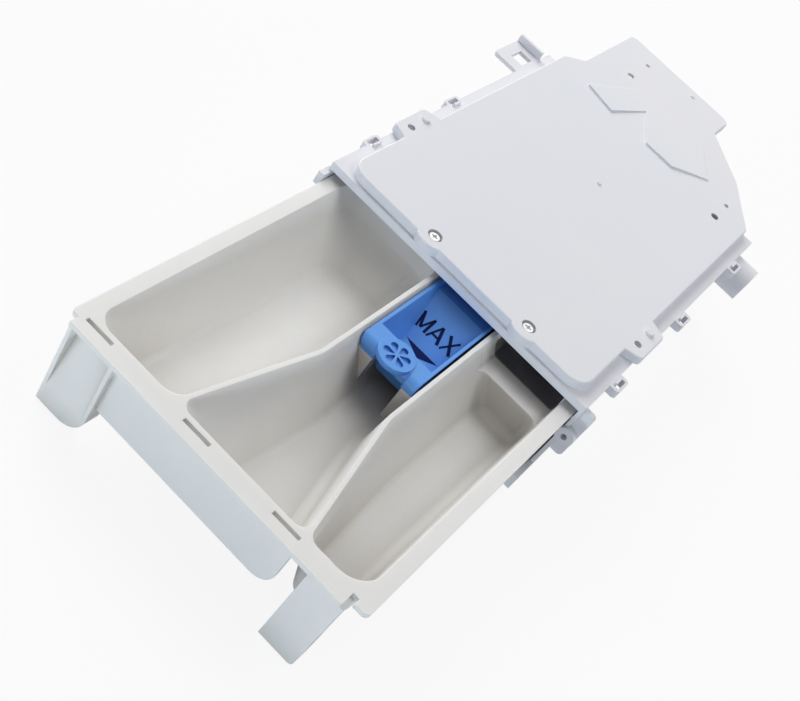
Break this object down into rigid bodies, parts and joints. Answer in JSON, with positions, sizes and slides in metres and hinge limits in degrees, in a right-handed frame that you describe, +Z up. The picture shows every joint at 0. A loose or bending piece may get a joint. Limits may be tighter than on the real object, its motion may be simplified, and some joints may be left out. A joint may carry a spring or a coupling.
{
  "type": "detergent dispenser drawer",
  "caption": "Washing-machine detergent dispenser: a white three-compartment drawer with a blue softener insert, pulled out of its moulded housing under a flat water-channel cover.",
  "frame": {"origin": "centre of the housing's flat base, on the surface that the part stands on", "axes": "+X to the right seen from the front, +Y towards the back, the way the drawer slides in, +Z up"},
  "size_m": [0.217, 0.535, 0.0686],
  "materials": {
    "white_drawer": "satin moulded plastic",
    "blue_insert": "glossy translucent blue plastic",
    "white_housing": "satin moulded plastic",
    "white_cover": "fine-textured moulded plastic",
    "screw_steel": "plated steel"
  },
  "bodies": {
    "housing": {"housing": "white_housing", "top_cover": "white_cover", "cover_screws": "screw_steel", "spray_plate": "white_housing"},
    "drawer": {"drawer_tray": "white_drawer", "siphon_insert": "blue_insert"}
  },
  "joints": [
    {"name": "drawer_slide", "type": "slide", "parent": "housing", "child": "drawer", "axis": [0, 1, 0], "range_m": [0, 0.174]}
  ]
}
